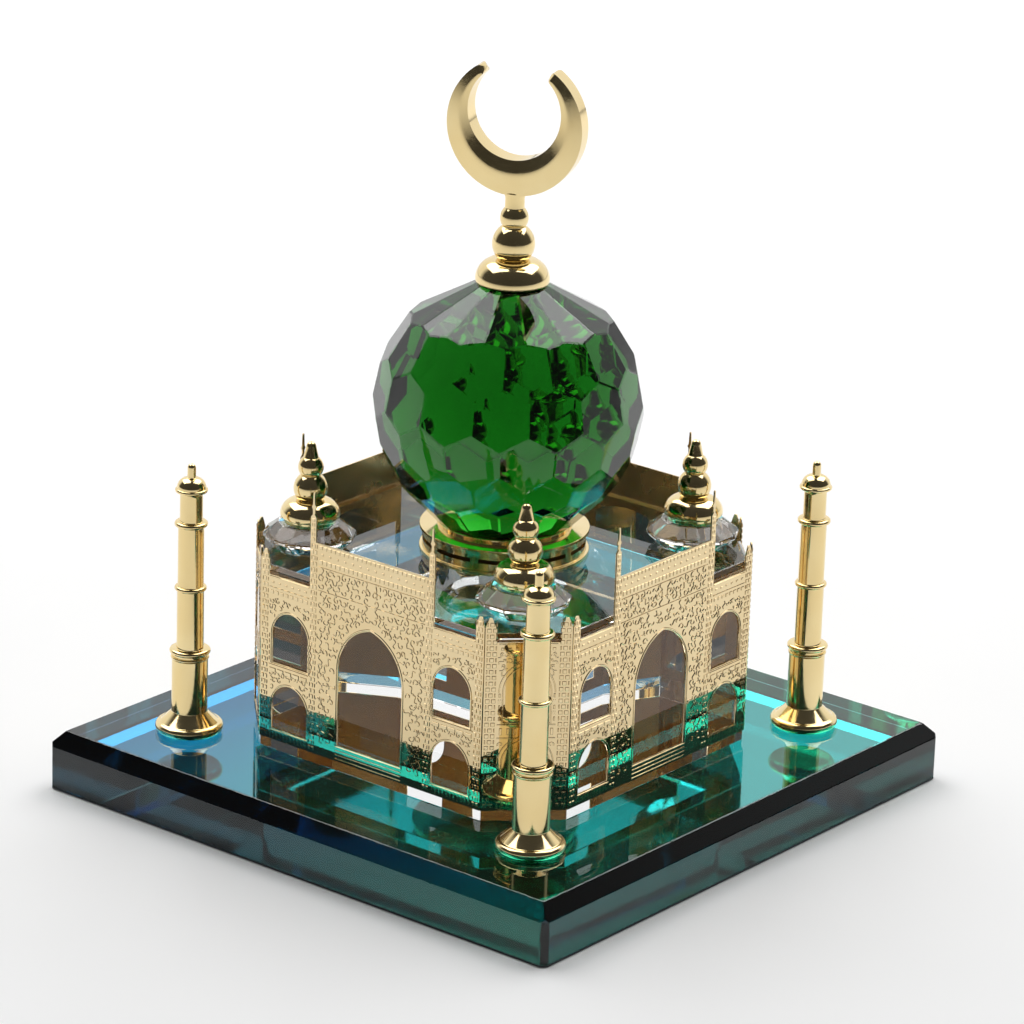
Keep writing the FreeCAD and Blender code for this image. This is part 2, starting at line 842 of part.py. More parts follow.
def main():
    make_spreadsheet()
    floor = size.film_thickness + size.plate_thickness
    roof = floor + size.hall_height
    seat = roof + size.collar_height + size.collar_seat_height
    ball_top = seat + size.ball_bottom_cut + size.ball_top_cut
    pieces = build_base()
    pieces += build_hall(floor)
    pieces += build_sheets(floor)
    pieces += build_kiosks(roof)
    pieces += build_collar(roof)
    pieces += build_ball(seat)
    pieces += build_dome_finial(ball_top)
    pieces += build_crescent(ball_top + size.finial_height)
    pieces += build_minarets(floor)
    doc.recompute()
    check_document(pieces)
    write_pieces(pieces)


main()
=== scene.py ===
"""A crystal souvenir of a domed hall with four minarets, on a mirrored glass base.

Shapes are built in millimetres and scaled to metres when they become objects.
"""

import math
import random

import bmesh
import bpy
from mathutils import Matrix, Vector


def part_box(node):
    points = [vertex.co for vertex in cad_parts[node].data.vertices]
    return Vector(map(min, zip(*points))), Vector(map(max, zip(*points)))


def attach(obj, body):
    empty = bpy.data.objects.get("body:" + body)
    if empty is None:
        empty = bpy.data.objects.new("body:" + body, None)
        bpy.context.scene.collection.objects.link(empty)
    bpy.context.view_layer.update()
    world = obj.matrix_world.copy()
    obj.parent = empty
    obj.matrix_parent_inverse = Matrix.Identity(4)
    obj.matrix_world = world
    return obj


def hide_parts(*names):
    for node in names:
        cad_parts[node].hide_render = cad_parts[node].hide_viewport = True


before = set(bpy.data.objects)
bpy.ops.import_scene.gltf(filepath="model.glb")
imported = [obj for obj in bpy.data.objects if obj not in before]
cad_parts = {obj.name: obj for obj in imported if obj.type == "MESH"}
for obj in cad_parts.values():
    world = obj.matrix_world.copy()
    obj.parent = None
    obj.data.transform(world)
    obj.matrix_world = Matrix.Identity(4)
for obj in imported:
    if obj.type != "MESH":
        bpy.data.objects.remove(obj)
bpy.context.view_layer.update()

MM = 0.001
SIDES = {"front": 0.0, "right": 90.0, "back": 180.0, "left": 270.0}
CORNERS = {"front_left": -45.0, "front_right": 45.0, "back_right": 135.0, "back_left": 225.0}

# Glued faces sink this far (mm) into each other, so that no air gap shows between them.
GLUE = 0.03
# The hall only rests on the plate: air between them (mm) keeps both faces bright.
AIR_GAP = 0.02


def box_mm(node):
    """Lowest and highest corner of a CAD node, in millimetres."""
    low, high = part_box(node)
    return low / MM, high / MM


def middle_mm(node):
    """The point under the middle of a CAD node, at its lowest height, in millimetres."""
    low, high = box_mm(node)
    return Vector(((low.x + high.x) / 2, (low.y + high.y) / 2, low.z))


# ---------------------------------------------------------------- materials


class Material:
    """A node material with one Principled shader, and helpers that link nodes into it."""

    def __init__(self, name):
        self.material = bpy.data.materials.new(name)
        self.material.use_nodes = True
        self.tree = self.material.node_tree
        self.shader = self.tree.nodes["Principled BSDF"]
        self.place = self.node("ShaderNodeTexCoord").outputs["Object"]

    def node(self, kind, **settings):
        node = self.tree.nodes.new(kind)
        for name, value in settings.items():
            setattr(node, name, value)
        return node

    def set(self, **values):
        for name, value in values.items():
            self.shader.inputs[name.replace("_", " ")].default_value = value

    def link(self, output, target):
        self.tree.links.new(output, target)

    def noise(self, scale, detail=3.0):
        """Noise over the object, with its scale given in features per metre."""
        noise = self.node("ShaderNodeTexNoise")
        noise.inputs["Scale"].default_value = scale
        noise.inputs["Detail"].default_value = detail
        self.link(self.place, noise.inputs["Vector"])
        return noise.outputs["Fac"]

    def ramp(self, value, stops):
        ramp = self.node("ShaderNodeValToRGB")
        elements = ramp.color_ramp.elements
        while len(elements) < len(stops):
            elements.new(1.0)
        for element, (position, colour) in zip(elements, stops):
            element.position = position
            element.color = (*colour, 1.0)
        self.link(value, ramp.inputs["Fac"])
        return ramp.outputs["Color"]

    def span(self, value, low, high, start=0.3, end=0.7):
        """A value from low to high, as the input goes from start to end."""
        span = self.node("ShaderNodeMapRange")
        for socket, number in zip(("From Min", "From Max", "To Min", "To Max"), (start, end, low, high)):
            span.inputs[socket].default_value = number
        self.link(value, span.inputs["Value"])
        return span.outputs["Result"]

    def roughness(self, value, low, high):
        self.link(self.span(value, low, high), self.shader.inputs["Roughness"])

    def colour(self, value, stops):
        self.link(self.ramp(value, stops), self.shader.inputs["Base Color"])

    def bump(self, value, height):
        """Relief from a value, with its height in millimetres."""
        bump = self.node("ShaderNodeBump")
        bump.inputs["Strength"].default_value = 1.0
        bump.inputs["Distance"].default_value = height * MM
        self.link(value, bump.inputs["Height"])
        self.link(bump.outputs["Normal"], self.shader.inputs["Normal"])


def gold_plate():
    """Bright plating on cast parts: almost a mirror, with a faint unevenness."""
    m = Material("gold_plate")
    m.set(Metallic=1.0)
    m.colour(m.noise(90.0), [(0.35, (0.86, 0.67, 0.33)), (0.65, (0.90, 0.73, 0.39))])
    m.roughness(m.noise(700.0), 0.07, 0.14)
    m.bump(m.noise(900.0, 3.0), 0.006)
    return m.material


def polished_brass():
    """The untouched face of an etched sheet: flat and bright."""
    m = Material("polished_brass")
    m.set(Metallic=1.0)
    m.colour(m.noise(60.0), [(0.35, (0.80, 0.63, 0.36)), (0.65, (0.84, 0.68, 0.41))])
    m.roughness(m.noise(900.0), 0.01, 0.035)
    m.bump(m.noise(500.0, 2.0), 0.004)
    return m.material


def etched_brass():
    """The tops of an etched sheet's relief: the same metal, a little less smooth."""
    m = Material("etched_brass")
    m.set(Metallic=1.0)
    m.colour(m.noise(400.0), [(0.3, (0.76, 0.60, 0.34)), (0.7, (0.88, 0.73, 0.46))])
    m.roughness(m.noise(1500.0), 0.05, 0.12)
    m.bump(m.noise(3000.0, 2.0), 0.01)
    return m.material


def flank_oxide_and_shade():
    """The steep flanks of the relief in dark brown: painted shade on them, with some oxide where polish
    never reaches.
    """
    m = Material("flank_oxide_and_shade")
    m.set(Metallic=1.0)
    m.colour(m.noise(500.0), [(0.3, (0.36, 0.26, 0.13)), (0.7, (0.56, 0.43, 0.25))])
    m.roughness(m.noise(1500.0), 0.08, 0.18)
    return m.material


def slot_shadow():
    """The bottom of the collar's slots: painted shade, near black, on rough unpolished metal."""
    m = Material("slot_shadow")
    m.set(Metallic=1.0)
    m.colour(m.noise(300.0), [(0.3, (0.05, 0.03, 0.015)), (0.7, (0.12, 0.08, 0.04))])
    m.roughness(m.noise(900.0), 0.45, 0.65)
    return m.material


def sheet_back():
    """The inner face of a sheet, seen through the crystal: a browner, rougher gold than the outer face."""
    m = Material("sheet_back")
    m.set(Metallic=1.0)
    m.colour(m.noise(70.0), [(0.3, (0.66, 0.45, 0.21)), (0.7, (0.82, 0.60, 0.29))])
    m.roughness(m.noise(200.0), 0.22, 0.28)
    return m.material


def clear_crystal():
    """Colourless cut crystal with the faint waviness and smears of hand polish."""
    m = Material("clear_crystal")
    m.set(Transmission_Weight=1.0, IOR=1.52)
    m.colour(m.noise(30.0), [(0.3, (0.97, 0.985, 0.985)), (0.7, (1.0, 1.0, 1.0))])
    m.roughness(m.noise(250.0), 0.0, 0.012)
    m.bump(m.noise(60.0, 1.0), 0.01)
    return m.material


def absorb(m, colour, density):
    """Tints what passes through a piece by how far it goes in it."""
    volume = m.node("ShaderNodeVolumeAbsorption")
    volume.inputs["Color"].default_value = (*colour, 1.0)
    volume.inputs["Density"].default_value = density
    output = next(n for n in m.tree.nodes if n.type == "OUTPUT_MATERIAL")
    m.link(volume.outputs["Volume"], output.inputs["Volume"])


def green_crystal():
    """Deep green cut crystal: the colour is in the glass, so thick parts are darker."""
    m = Material("green_crystal")
    m.set(Transmission_Weight=1.0, IOR=1.55)
    m.colour(m.noise(40.0), [(0.3, (0.80, 0.98, 0.80)), (0.7, (0.88, 1.0, 0.88))])
    m.roughness(m.noise(300.0), 0.0, 0.015)
    m.bump(m.noise(80.0, 1.0), 0.006)
    absorb(m, (0.0, 0.60, 0.02), 115.0)
    return m.material


def base_glass():
    """Thick plate glass with a smoky teal body."""
    m = Material("base_glass")
    m.set(Transmission_Weight=1.0, IOR=1.52)
    m.colour(m.noise(25.0), [(0.3, (0.93, 0.98, 0.98)), (0.7, (0.98, 1.0, 1.0))])
    m.roughness(m.noise(180.0), 0.0, 0.015)
    m.bump(m.noise(40.0, 1.0), 0.01)
    absorb(m, (0.30, 0.60, 0.52), 15.0)
    return m.material


# Half the film's width (m), and how far noise may move its colours along it.
FILM_HALF, FILM_DRIFT = 0.06, 0.25


def mirror_film():
    """Mirror film that goes from deep blue on the left, through cyan, to teal on the right."""
    m = Material("mirror_film")
    m.set(Metallic=1.0, Specular_Tint=(0.95, 0.72, 0.66, 1.0))
    across = m.node("ShaderNodeSeparateXYZ")
    m.link(m.place, across.inputs["Vector"])
    position = m.span(across.outputs["X"], 0.0, 1.0, start=-FILM_HALF, end=FILM_HALF)
    drift = m.node("ShaderNodeMath", operation="MULTIPLY_ADD")
    drift.inputs[1].default_value = FILM_DRIFT
    m.link(m.noise(14.0, 2.0), drift.inputs[0])
    m.link(position, drift.inputs[2])
    m.colour(
        drift.outputs["Value"],
        [
            (0.12, (0.02, 0.19, 0.44)),
            (0.45, (0.02, 0.36, 0.50)),
            (0.75, (0.02, 0.48, 0.50)),
            (1.0, (0.02, 0.50, 0.50)),
        ],
    )
    m.roughness(m.noise(200.0), 0.02, 0.06)
    return m.material


def film_backing():
    """The dark lacquer on the film's back and cut edge."""
    m = Material("film_backing")
    m.colour(m.noise(120.0), [(0.3, (0.010, 0.016, 0.018)), (0.7, (0.025, 0.034, 0.036))])
    m.roughness(m.noise(400.0), 0.35, 0.55)
    return m.material


def pale_floor():
    m = Material("pale_floor")
    m.colour(m.noise(6.0), [(0.3, (0.90, 0.90, 0.90)), (0.7, (0.92, 0.92, 0.92))])
    m.roughness(m.noise(30.0), 0.75, 0.9)
    return m.material


# ---------------------------------------------------------------- mesh helpers


def add_piece(name, bm, materials, node, smooth_angle=None, turn=Matrix.Identity(4)):
    """A mesh in millimetres becomes a piece of the model, in place of a CAD node."""
    bmesh.ops.recalc_face_normals(bm, faces=bm.faces[:])
    mesh = bpy.data.meshes.new(name)
    bm.to_mesh(mesh)
    bm.free()
    mesh.transform(Matrix.Scale(MM, 4) @ turn)
    if smooth_angle is not None:
        mesh.shade_smooth()
        mesh.set_sharp_from_angle(angle=math.radians(smooth_angle))
    for material in materials:
        mesh.materials.append(material)
    piece = bpy.data.objects.new(name, mesh)
    bpy.context.scene.collection.objects.link(piece)
    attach(piece, "root")
    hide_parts(node)


def convex(planes, reach, edge):
    """The solid inside planes, each an outward normal and a distance, with its edges bevelled."""
    bm = bmesh.new()
    bmesh.ops.create_cube(bm, size=2 * reach)
    for normal, distance in planes:
        normal = Vector(normal).normalized()
        parts = bm.verts[:] + bm.edges[:] + bm.faces[:]
        cut = bmesh.ops.bisect_plane(
            bm, geom=parts, dist=1e-5, plane_co=normal * distance, plane_no=normal, clear_outer=True
        )
        rim = [e for e in cut["geom_cut"] if isinstance(e, bmesh.types.BMEdge)]
        if len(rim) > 2:
            bmesh.ops.contextual_create(bm, geom=rim)
    bmesh.ops.dissolve_degenerate(bm, dist=1e-4, edges=bm.edges[:])
    if edge:
        bmesh.ops.bevel(bm, geom=bm.edges[:], offset=edge, segments=1, affect="EDGES", clamp_overlap=True)
    return bm


def plane_ring(count, tilt, distance, start=0.0):
    """Planes round the vertical, tilted up from it by some degrees."""
    level, rise = math.cos(math.radians(tilt)), math.sin(math.radians(tilt))
    ring = []
    for i in range(count):
        heading = math.radians(start) + 2 * math.pi * i / count
        ring.append((Vector((level * math.cos(heading), level * math.sin(heading), rise)), distance))
    return ring


def slope_ring(count, low_radius, low, high_radius, high, start=0.0):
    """Planes round the vertical through two levels, given by the radii of the corners at each."""
    flat = math.cos(math.pi / count)
    tilt = math.atan2((low_radius - high_radius) * flat, high - low)
    distance = math.cos(tilt) * low_radius * flat + math.sin(tilt) * low
    return plane_ring(count, math.degrees(tilt), distance, start)


def profile_points(profile, step):
    """A half profile as points. A five-number entry is an arc to that point about a centre."""
    points = [Vector(profile[0][:2])]
    for entry in profile[1:]:
        end = Vector(entry[:2])
        if len(entry) == 5:
            centre = Vector(entry[2:4])
            start_angle = math.atan2(points[-1].y - centre.y, points[-1].x - centre.x)
            end_angle = math.atan2(end.y - centre.y, end.x - centre.x)
            sweep = (end_angle - start_angle) % (2 * math.pi)
            if entry[4] < 0:
                sweep -= 2 * math.pi
            radius = (points[-1] - centre).length
            count = max(3, round(abs(sweep) * radius / step))
            for i in range(1, count):
                angle = start_angle + sweep * i / count
                points.append(centre + radius * Vector((math.cos(angle), math.sin(angle))))
        points.append(end)
    return points


# Corners opener than this stay as they are; the others take up to this share of each side.
STRAIGHT_ENOUGH, ROUNDED_SHARE = math.radians(160), 0.45


def softened(points, radius):
    """The same run of points with each clear corner rounded off."""
    soft = [points[0]]
    for before, corner, after in zip(points, points[1:], points[2:]):
        back, ahead = before - corner, after - corner
        if back.length < 1e-6 or ahead.length < 1e-6 or back.angle(ahead) > STRAIGHT_ENOUGH:
            soft.append(corner)
            continue
        reach = min(radius, back.length * ROUNDED_SHARE, ahead.length * ROUNDED_SHARE)
        start = corner + back.normalized() * reach
        end = corner + ahead.normalized() * reach
        for t in (0.0, 0.25, 0.5, 0.75, 1.0):
            soft.append((1 - t) ** 2 * start + 2 * t * (1 - t) * corner + t ** 2 * end)
    return soft + [points[-1]]


def lathe(profile, foot, step=0.25, radius=0.14, segments=72):
    """A half profile turned about the vertical over a foot point."""
    points = softened(profile_points(profile, step), radius)
    bm = bmesh.new()
    rings = []
    for point in points:
        if point.x < 1e-4:
            rings.append([bm.verts.new(foot + Vector((0, 0, point.y)))] * segments)
            continue
        ring = []
        for i in range(segments):
            angle = 2 * math.pi * i / segments
            spot = Vector((point.x * math.cos(angle), point.x * math.sin(angle), point.y))
            ring.append(bm.verts.new(foot + spot))
        rings.append(ring)
    for low, high in zip(rings, rings[1:]):
        for i in range(segments):
            j = (i + 1) % segments
            corners = []
            for vert in (low[i], low[j], high[j], high[i]):
                if vert not in corners:
                    corners.append(vert)
            if len(corners) > 2:
                bm.faces.new(corners)
    return bm


# ---------------------------------------------------------------- base, hall and dome

BASE_BEVEL_INSET, BASE_BEVEL_DROP, BASE_CORNER_LEG, BASE_EDGE = 2.4, 2.8, 1.1, 0.12
HALL_HALF, HALL_CORNER_LEG, HALL_ROOF_BEVEL, HALL_EDGE = 37.7, 11.1, 0.8, 0.12


def square_planes(half, corner_leg):
    """Four upright sides and the four faces that cut their corners."""
    return plane_ring(4, 0, half) + plane_ring(4, 0, (2 * half - corner_leg) / math.sqrt(2), 45)


def build_base(film, backing, glass):
    low, high = box_mm("base_plate")
    half = (high.x - low.x) / 2
    tilt = math.degrees(math.atan2(BASE_BEVEL_INSET, BASE_BEVEL_DROP))
    level, rise = math.cos(math.radians(tilt)), math.sin(math.radians(tilt))
    shoulder = level * half + rise * (high.z - BASE_BEVEL_DROP)
    planes = square_planes(half, BASE_CORNER_LEG)
    planes += [((0, 0, 1), high.z), ((0, 0, -1), -low.z)]
    planes += plane_ring(4, tilt, shoulder)
    bm = convex(planes, 2 * half, BASE_EDGE)
    add_piece("base_glass_plate", bm, [glass], "base_plate")

    low, high = box_mm("mirror_film")
    planes = square_planes(half, BASE_CORNER_LEG)
    planes += [((0, 0, 1), high.z + GLUE), ((0, 0, -1), -low.z)]
    bm = convex(planes, 2 * half, 0)
    bm.normal_update()
    for face in bm.faces:
        face.material_index = 0 if face.normal.z > 0.5 else 1
    add_piece("base_mirror_film", bm, [film, backing], "mirror_film")


def build_hall(crystal):
    low, high = box_mm("hall_block")
    half = (high.x - low.x) / 2
    planes = square_planes(half, HALL_CORNER_LEG)
    planes += [((0, 0, 1), high.z), ((0, 0, -1), -AIR_GAP - low.z)]
    ease = HALL_ROOF_BEVEL / math.sqrt(2)
    root = math.sqrt(0.5)
    planes += plane_ring(4, 45, (half + high.z) * root - ease)
    planes += plane_ring(4, 45, ((2 * half - HALL_CORNER_LEG) * root + high.z) * root - ease, 45)
    bm = convex(planes, 2 * half, HALL_EDGE)
    add_piece("hall_crystal_block", bm, [crystal], "hall_block")


# Each row of facets: its latitude, its distance from the centre and its turn in facets.
BALL_ROWS = (
    (61.0, 23.7, 0.0), (31.5, 24.5, 0.5), (11.0, 24.5, 0.0),
    (-10.5, 24.5, 0.5), (-27.0, 24.5, 0.0), (-44.0, 24.5, 0.5),
)
BALL_FACETS, BALL_TURN, BALL_BOTTOM_CUT, BALL_EDGE = 15, 17.5, 22.4, 0.22


def build_ball(crystal):
    low, high = box_mm("dome_ball")
    centre = Vector((0, 0, low.z + BALL_BOTTOM_CUT))
    pitch = 360 / BALL_FACETS
    planes = [((0, 0, 1), high.z - centre.z), ((0, 0, -1), BALL_BOTTOM_CUT)]
    for latitude, distance, stagger in BALL_ROWS:
        planes += plane_ring(BALL_FACETS, latitude, distance, BALL_TURN + stagger * pitch)
    bm = convex(planes, reach=40, edge=BALL_EDGE)
    bmesh.ops.translate(bm, vec=centre, verts=bm.verts[:])
    add_piece("dome_cut_ball", bm, [crystal], "dome_ball")


COLLAR_SLOTS, COLLAR_SLOT_LENGTH, COLLAR_SLOT_WIDTH, COLLAR_SLOT_DEPTH = 10, 8.4, 0.8, 0.8
# A face this close (mm) to the waist's radius belongs to the waist.
COLLAR_NEAR = 0.2


def build_collar(gold, shadow):
    low, high = box_mm("dome_collar")
    foot = middle_mm("dome_collar")
    rim, waist, top, lip, seat = (high.x - low.x) / 2, 15.3, 4.9, 0.7, 12.6
    slot_low, slot_high = (top - COLLAR_SLOT_WIDTH) / 2, (top + COLLAR_SLOT_WIDTH) / 2
    sunk = waist - COLLAR_SLOT_DEPTH
    profile = [
        (0.0, -GLUE), (rim, -GLUE), (rim, lip), (waist, lip),
        (waist, slot_low), (waist, slot_high),
        (waist, top - lip), (rim, top - lip), (rim, top), (seat, top),
        (seat, high.z - low.z + GLUE), (0.0, high.z - low.z + GLUE),
    ]
    bm = lathe(profile, foot, radius=0.1, segments=120)
    # The slots: the waist's middle band is pushed in over evenly spread arcs.
    half_arc = COLLAR_SLOT_LENGTH / 2 / waist
    pitch = 2 * math.pi / COLLAR_SLOTS
    band = []
    for face in bm.faces:
        middle = face.calc_center_median() - foot
        if slot_low < middle.z < slot_high and abs(middle.xy.length - waist) < COLLAR_NEAR:
            heading = math.atan2(middle.y, middle.x) + math.pi / 2
            if abs((heading + pitch / 2) % pitch - pitch / 2) < half_arc:
                band.append(face)
    sunk_region = bmesh.ops.extrude_face_region(bm, geom=band)
    bmesh.ops.delete(bm, geom=band, context="FACES_ONLY")
    for vert in (v for v in sunk_region["geom"] if isinstance(v, bmesh.types.BMVert)):
        offset = vert.co - foot
        flat = offset.xy.normalized() * sunk
        vert.co = foot + Vector((flat.x, flat.y, offset.z))
    # The sunk faces take the slot material, whose near black is painted shade.
    for face in (f for f in sunk_region["geom"] if isinstance(f, bmesh.types.BMFace)):
        face.material_index = 1
    add_piece("dome_collar_ring", bm, [gold, shadow], "dome_collar", 35)


# ---------------------------------------------------------------- turned gilt parts


def build_dome_finial(gold):
    low, high = box_mm("dome_finial")
    cap, neck, bulb, bead, top = 6.9, 1.83, 4.0, 2.66, high.z - low.z
    foot_radius, widest, cap_neck, bulb_height, bead_height = 6.7, 0.7, 2.75, 7.4, 12.3
    bulb_low = bulb_height - math.sqrt(bulb ** 2 - cap_neck ** 2)
    gap = bead_height - bulb_height
    joint = (gap ** 2 + bulb ** 2 - bead ** 2) / (2 * gap)
    bead_high = bead_height + math.sqrt(bead ** 2 - neck ** 2)
    reach, tuck = cap - cap_neck, cap - foot_radius
    cap_arc = (reach ** 2 + (bulb_low - widest) ** 2) / (2 * reach)
    foot_arc = (tuck ** 2 + widest ** 2) / (2 * tuck)
    profile = [
        (0.0, -GLUE), (foot_radius, -GLUE),
        (cap, widest, cap - foot_arc, widest, 1),
        (cap_neck, bulb_low, cap - cap_arc, widest, 1),
        (math.sqrt(bulb ** 2 - joint ** 2), bulb_height + joint, 0.0, bulb_height, 1),
        (neck, bead_high, 0.0, bead_height, 1),
        (neck, top - 1.0), (neck + 0.3, top), (0.0, top),
    ]
    bm = lathe(profile, middle_mm("dome_finial"))
    add_piece("dome_finial_turned", bm, [gold], "dome_finial", 40)


def kiosk_profile():
    """A drum, a bun-shaped dome, two balls and a blunt cone."""
    neck, ball, ball_height, bead, bead_height, cone = 2.4, 3.2, 6.5, 2.4, 10.6, 1.45
    dome, dome_foot, dome_top = 5.6, 1.5, 4.3
    gap = bead_height - ball_height
    joint = (gap ** 2 + ball ** 2 - bead ** 2) / (2 * gap)
    reach = dome - neck
    dome_arc = (reach ** 2 + (dome_top - dome_foot) ** 2) / (2 * reach)
    return [
        (0.0, -GLUE), (4.8, -GLUE), (4.8, 1.0), (5.5, 1.0), (dome, dome_foot),
        (neck, dome_top, dome - dome_arc, dome_foot, 1),
        (neck, ball_height - math.sqrt(ball ** 2 - neck ** 2)),
        (math.sqrt(ball ** 2 - joint ** 2), ball_height + joint, 0.0, ball_height, 1),
        (cone, bead_height + math.sqrt(bead ** 2 - cone ** 2), 0.0, bead_height, 1),
        (cone, 12.5), (0.95, 14.6), (0.0, 15.55, 0.0, 14.6, 1),
    ]


def bead_ring(inner, low, high, reach):
    """A round-edged ring on a shaft."""
    half = (high - low) / 2
    return [(inner, low), (reach - half, low), (reach - half, high, reach - half, low + half, 1)]


def minaret_profile():
    """A flared foot, four stepped storeys with rings between them, a cap and a pin."""
    foot, sole, widest, round_over, flare_top = 6.4, 5.6, 1.1, 0.9, 4.0
    lower, middle, upper, lantern, brim_low, brim_high, cap, cap_top, pin, top = (
        3.4, 2.55, 2.45, 2.15, 47.4, 48.2, 2.75, 50.2, 0.8, 52.9
    )
    tuck, reach, rise = foot - sole, cap - pin, cap_top - brim_high
    sole_arc = (tuck ** 2 + widest ** 2) / (2 * tuck)
    cap_arc = (reach ** 2 + rise ** 2) / (2 * rise)
    profile = [
        (0.0, -GLUE), (sole, -GLUE), (foot, widest, foot - sole_arc, widest, 1),
        (foot - round_over, widest + round_over, foot - round_over, widest, 1),
        (lower, flare_top),
    ]
    # Each ring: the shaft under it, its lowest and highest level, its reach and the shaft above it.
    rings = (
        (lower, 14.5, 15.2, 3.65, lower - 0.1),
        (lower - 0.1, 15.6, 16.6, 3.9, middle),
        (middle, 28.1, 29.0, 3.05, upper),
        (upper, 40.7, 41.7, 3.15, lantern),
    )
    for below, ring_low, ring_high, ring_reach, above in rings:
        profile += bead_ring(below, ring_low, ring_high, ring_reach) + [(above, ring_high)]
    profile += [(lantern, brim_low - 0.5)]
    profile += bead_ring(lantern + 0.2, brim_low, brim_high, 3.1)
    profile += [
        (cap, brim_high), (pin, cap_top, pin, cap_top - cap_arc, 1),
        (pin, top - pin), (0.0, top, 0.0, top - pin, 1),
    ]
    return profile


BUTTON_SIDES, BUTTON_EDGE = 12, 0.15
BUTTON_SEAT_RADIUS, BUTTON_RADIUS, BUTTON_TOP_RADIUS = 6.4, 8.75, 5.9
BUTTON_GIRDLE_LOW, BUTTON_GIRDLE_HIGH = 2.2, 2.9


def build_kiosks(crystal, gold):
    flat = math.cos(math.pi / BUTTON_SIDES)
    finial = kiosk_profile()
    for corner in CORNERS:
        low, high = box_mm("kiosk_button_" + corner)
        height = high.z - low.z
        planes = plane_ring(BUTTON_SIDES, 0, BUTTON_RADIUS * flat)
        planes += slope_ring(BUTTON_SIDES, BUTTON_SEAT_RADIUS, 0.0, BUTTON_RADIUS, BUTTON_GIRDLE_LOW)
        planes += slope_ring(BUTTON_SIDES, BUTTON_RADIUS, BUTTON_GIRDLE_HIGH, BUTTON_TOP_RADIUS, height)
        planes += [((0, 0, 1), height), ((0, 0, -1), GLUE)]
        bm = convex(planes, reach=20, edge=BUTTON_EDGE)
        bmesh.ops.translate(bm, vec=middle_mm("kiosk_button_" + corner), verts=bm.verts[:])
        add_piece("kiosk_crystal_" + corner, bm, [crystal], "kiosk_button_" + corner)
        bm = lathe(finial, middle_mm("kiosk_finial_" + corner))
        add_piece("kiosk_turned_" + corner, bm, [gold], "kiosk_finial_" + corner, 40)


def build_minarets(gold):
    profile = minaret_profile()
    for corner in CORNERS:
        bm = lathe(profile, middle_mm("minaret_" + corner))
        add_piece("minaret_turned_" + corner, bm, [gold], "minaret_" + corner, 40)


# ---------------------------------------------------------------- crescent

CRESCENT_YAW, CRESCENT_STATIONS, CRESCENT_ACROSS = 20.0, 96, 12
# How much of the plate's greatest width each bevel takes, and its least half depth (mm).
CRESCENT_OUTER_SHARE, CRESCENT_INNER_SHARE, CRESCENT_THINNEST = 0.5, 0.35, 0.25


def build_crescent(gold):
    """A plate between two circles, both faces bevelled to a ridge, its horns rounded at the tips."""
    low, high = box_mm("crescent")
    outer, inner, lift, tip, horn = 13.0, 8.95, 2.7, 0.95, 36.2
    half_depth, outer_edge, inner_edge = 2.6, 1.8, 2.05
    outer_width = (outer + lift - inner) * CRESCENT_OUTER_SHARE
    inner_width = (outer + lift - inner) * CRESCENT_INNER_SHARE
    foot = Vector((0, 0, low.z + outer))
    bm = bmesh.new()
    rings = []
    end = math.radians(180 - horn)
    # The last section stops just short of the rounded tip's end, where it would have no width.
    last = end + math.asin(tip / (outer - tip)) * 0.998
    for i in range(-CRESCENT_STATIONS, CRESCENT_STATIONS + 1):
        angle = last * i / CRESCENT_STATIONS
        heading = Vector((math.sin(angle), -math.cos(angle)))
        # The inner circle's point on the same ray from the outer circle's centre.
        along = heading.y * lift
        inner_reach = along + math.sqrt(max(inner ** 2 - lift ** 2 + along ** 2, 0.0))
        reach_in = min(inner_reach, outer - 2 * tip * 0.94)
        width = outer - reach_in
        past = max(0.0, abs(angle) - end) * (outer - tip) / tip
        shrink = math.sqrt(max(0.0, 1 - past ** 2))
        middle = outer - width / 2
        near, far = middle - width / 2 * shrink, middle + width / 2 * shrink

        def depth(reach):
            from_outer = outer_edge + (half_depth - outer_edge) * (outer - reach) / outer_width
            inner_distance = Vector((heading.x * reach, heading.y * reach - lift)).length - inner
            from_inner = inner_edge + (half_depth - inner_edge) * inner_distance / inner_width
            return max(CRESCENT_THINNEST, min(half_depth, from_outer, from_inner)) * max(shrink, 0.15)

        section = []
        reaches = [far - (far - near) * j / CRESCENT_ACROSS for j in range(CRESCENT_ACROSS + 1)]
        for reach in reaches:
            section.append((reach, depth(reach)))
        for reach in reversed(reaches):
            section.append((reach, -depth(reach)))
        spots = [Vector((heading.x * reach, y, heading.y * reach)) for reach, y in section]
        rings.append([bm.verts.new(foot + spot) for spot in spots])
    for one, two in zip(rings, rings[1:]):
        for j in range(len(one)):
            k = (j + 1) % len(one)
            bm.faces.new((one[j], one[k], two[k], two[j]))
    bm.faces.new(rings[0])
    bm.faces.new(rings[-1])
    turn = Matrix.Rotation(math.radians(CRESCENT_YAW), 4, "Z")
    add_piece("crescent_bevelled", bm, [gold], "crescent", 28, turn)


# ---------------------------------------------------------------- etched sheets

# Heights on the sheets are from the top of the base (mm); across, they are from the sheet's middle.
SHEET = dict(
    thickness=0.3, bottom=2.1, cornice=34.6, portal_top=43.5, portal=14.8, spire_top=53.0, spire=1.3,
    turret_top=39.3, turret=1.9, point=0.25,
)
# An arch: its middle, half its width, its foot, where it springs from, and its rise.
PORTAL_ARCH = (0.0, 7.7, 5.2, 20.2, 9.4)
BAY_WINDOWS = [
    (x, 4.4, bottom, spring, 4.6)
    for x in (-19.4, 19.4)
    for bottom, spring in ((4.3, 8.9), (17.5, 23.2))
]
CORNER_NICHES = [(0.0, 4.1, 4.6, 11.2, 4.4), (0.0, 4.1, 19.4, 25.0, 5.0)]
ARCH_STEPS = 14
# The brickwork under a turret runs between these heights.
PIER_FOOT, PIER_HEAD = 2.5, 38.6
